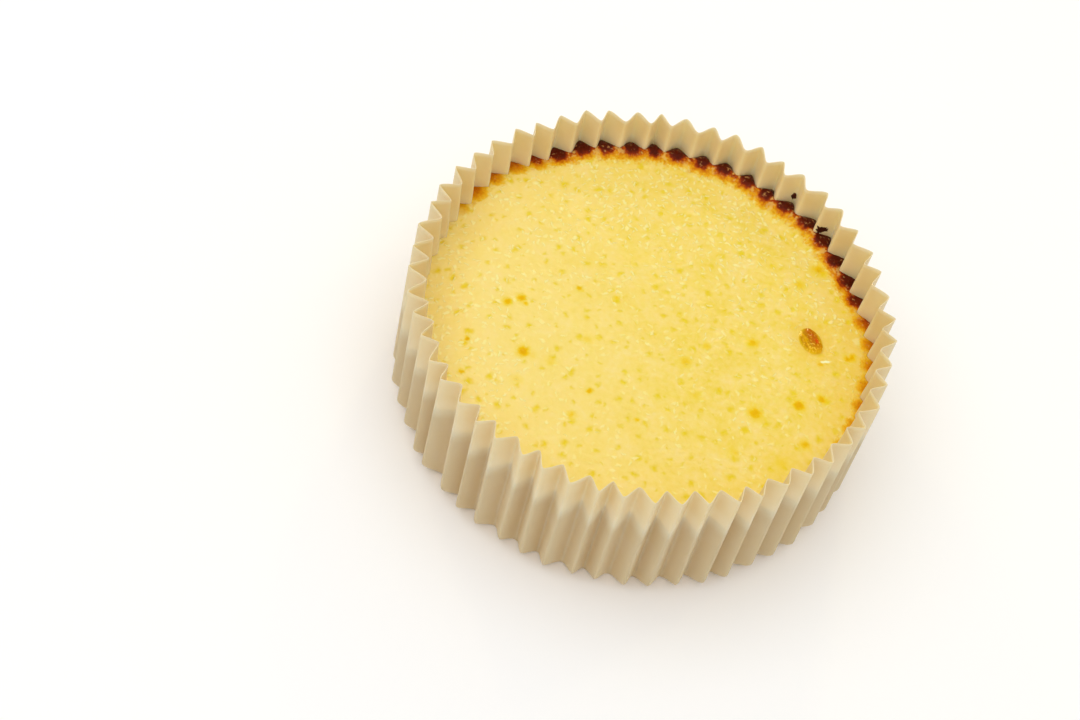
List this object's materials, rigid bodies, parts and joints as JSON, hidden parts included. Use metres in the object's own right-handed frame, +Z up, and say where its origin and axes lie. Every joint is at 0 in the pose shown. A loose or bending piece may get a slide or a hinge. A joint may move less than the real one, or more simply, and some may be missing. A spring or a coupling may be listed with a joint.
{
  "type": "cheesecake in a fluted paper case",
  "caption": "Round baked cheesecake, uncut, in a fluted baking-paper case that stands above its top, with a browned, cragged edge at the back.",
  "frame": {"origin": "middle of the paper case's flat underside", "axes": "+Z up along the cake's axis; -Y towards the viewer, so the browned edge lies towards +Y; +X to the viewer's right"},
  "size_m": [0.1462, 0.1439, 0.0509],
  "materials": {
    "paper": "unbleached greaseproof baking paper, matt, slightly see-through",
    "cake": "baked cream cheese batter, moist satin top, caramel to dark brown at the back edge"
  },
  "bodies": {
    "root": {"paper_case": "paper", "cake": "cake"}
  },
  "joints": []
}
